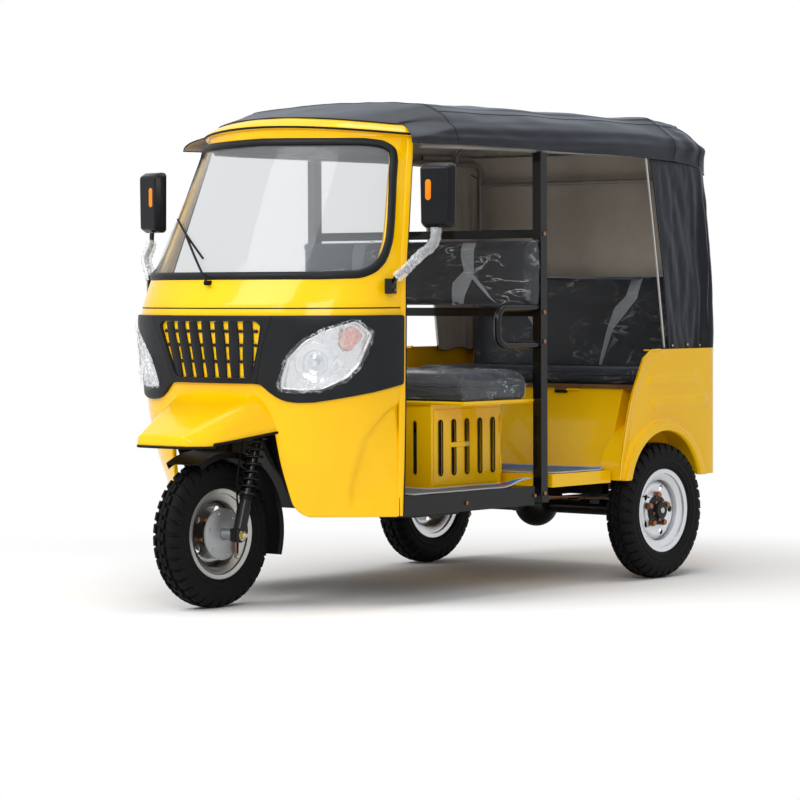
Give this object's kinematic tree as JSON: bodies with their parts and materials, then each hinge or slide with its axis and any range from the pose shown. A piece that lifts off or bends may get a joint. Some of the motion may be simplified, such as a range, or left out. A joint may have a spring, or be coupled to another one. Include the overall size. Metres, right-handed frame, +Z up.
{
  "type": "auto rickshaw",
  "caption": "Passenger three-wheeler with an open-sided curved sheet metal cab, soft hood, handlebar steering, sprung front fork, underseat engine box and rear bench",
  "frame": {"origin": "on the ground, at the middle of the bounding box seen from above", "axes": "+X points forward, +Y to the vehicle's left, +Z up"},
  "size_m": [2.671, 1.5958, 1.8895],
  "materials": {
    "yellow_enamel": "gloss",
    "charcoal_plastic": "satin",
    "black_enamel": "gloss",
    "black_rubber": "matte",
    "tyre_rubber": "matte",
    "rim_silver": "satin",
    "hub_black": "satin",
    "brake_alloy": "satin",
    "chrome_reflector": "polished",
    "lamp_clear": "gloss",
    "window_glass": "gloss",
    "seat_vinyl": "satin",
    "hood_vinyl": "satin",
    "frame_grey": "satin",
    "mat_rubber": "matte",
    "board_wood": "matte",
    "lamp_red": "gloss",
    "engine_cast": "cast"
  },
  "bodies": {
    "body": {"chassis": "black_enamel", "cab_shell": "yellow_enamel", "visor": "yellow_enamel", "fascia": "charcoal_plastic", "headlamp_bowls": "chrome_reflector", "headlamp_lenses": "lamp_clear", "nose_guard": "yellow_enamel", "windscreen_seal": "black_rubber", "windscreen_glass": "window_glass", "mirror_arms": "black_enamel", "mirror_heads": "charcoal_plastic", "driver_floor": "black_enamel", "driver_mat": "mat_rubber", "engine_box": "yellow_enamel", "engine": "engine_cast", "driver_cushion": "seat_vinyl", "driver_backrest": "seat_vinyl", "mid_posts": "black_enamel", "grab_handles": "black_enamel", "cabin_floor": "yellow_enamel", "cabin_mat": "mat_rubber", "bench_base": "yellow_enamel", "bench_backrest": "seat_vinyl", "side_panels": "yellow_enamel", "rear_panel": "yellow_enamel", "tail_lamps": "lamp_red", "hood_frame": "frame_grey", "hood": "hood_vinyl", "rear_axle": "black_enamel", "leaf_springs": "black_enamel", "exhaust": "black_enamel", "brake_pedal": "black_enamel"},
    "engine_door": {"engine_door": "yellow_enamel"},
    "bench_lid": {"bench_board": "board_wood", "bench_cushion": "seat_vinyl"},
    "steering": {"fork": "black_enamel", "fork_springs": "black_enamel", "front_mudguard": "charcoal_plastic", "handlebar": "black_enamel", "front_brake_plate": "brake_alloy"},
    "front_wheel": {"front_tyre": "tyre_rubber", "front_rim": "rim_silver", "front_hub": "hub_black"},
    "rear_wheel_left": {"rear_tyre_left": "tyre_rubber", "rear_rim_left": "rim_silver", "rear_hub_left": "hub_black"},
    "rear_wheel_right": {"rear_tyre_right": "tyre_rubber", "rear_rim_right": "rim_silver", "rear_hub_right": "hub_black"}
  },
  "joints": [
    {"name": "steering_turn", "type": "hinge", "parent": "body", "child": "steering", "pos_m": [1.067, 0, 0.274], "axis": [-0.284, 0, 0.9588], "range_deg": [-40, 40]},
    {"name": "front_wheel_spin", "type": "hinge", "parent": "steering", "child": "front_wheel", "pos_m": [1.067, 0, 0.274], "axis": [0, 1, 0], "continuous": true},
    {"name": "rear_wheel_left_spin", "type": "hinge", "parent": "body", "child": "rear_wheel_left", "pos_m": [-0.902, 0.599, 0.274], "axis": [0, 1, 0], "continuous": true},
    {"name": "rear_wheel_right_spin", "type": "hinge", "parent": "body", "child": "rear_wheel_right", "pos_m": [-0.902, -0.599, 0.274], "axis": [0, 1, 0], "continuous": true},
    {"name": "engine_door_swing", "type": "hinge", "parent": "body", "child": "engine_door", "pos_m": [-0.143, 0.405, 0.57], "axis": [0, 0, 1], "range_deg": [0, 90]},
    {"name": "bench_lid_lift", "type": "hinge", "parent": "body", "child": "bench_lid", "pos_m": [-0.789, 0, 0.759], "axis": [0, 1, 0], "range_deg": [0, 70]}
  ]
}
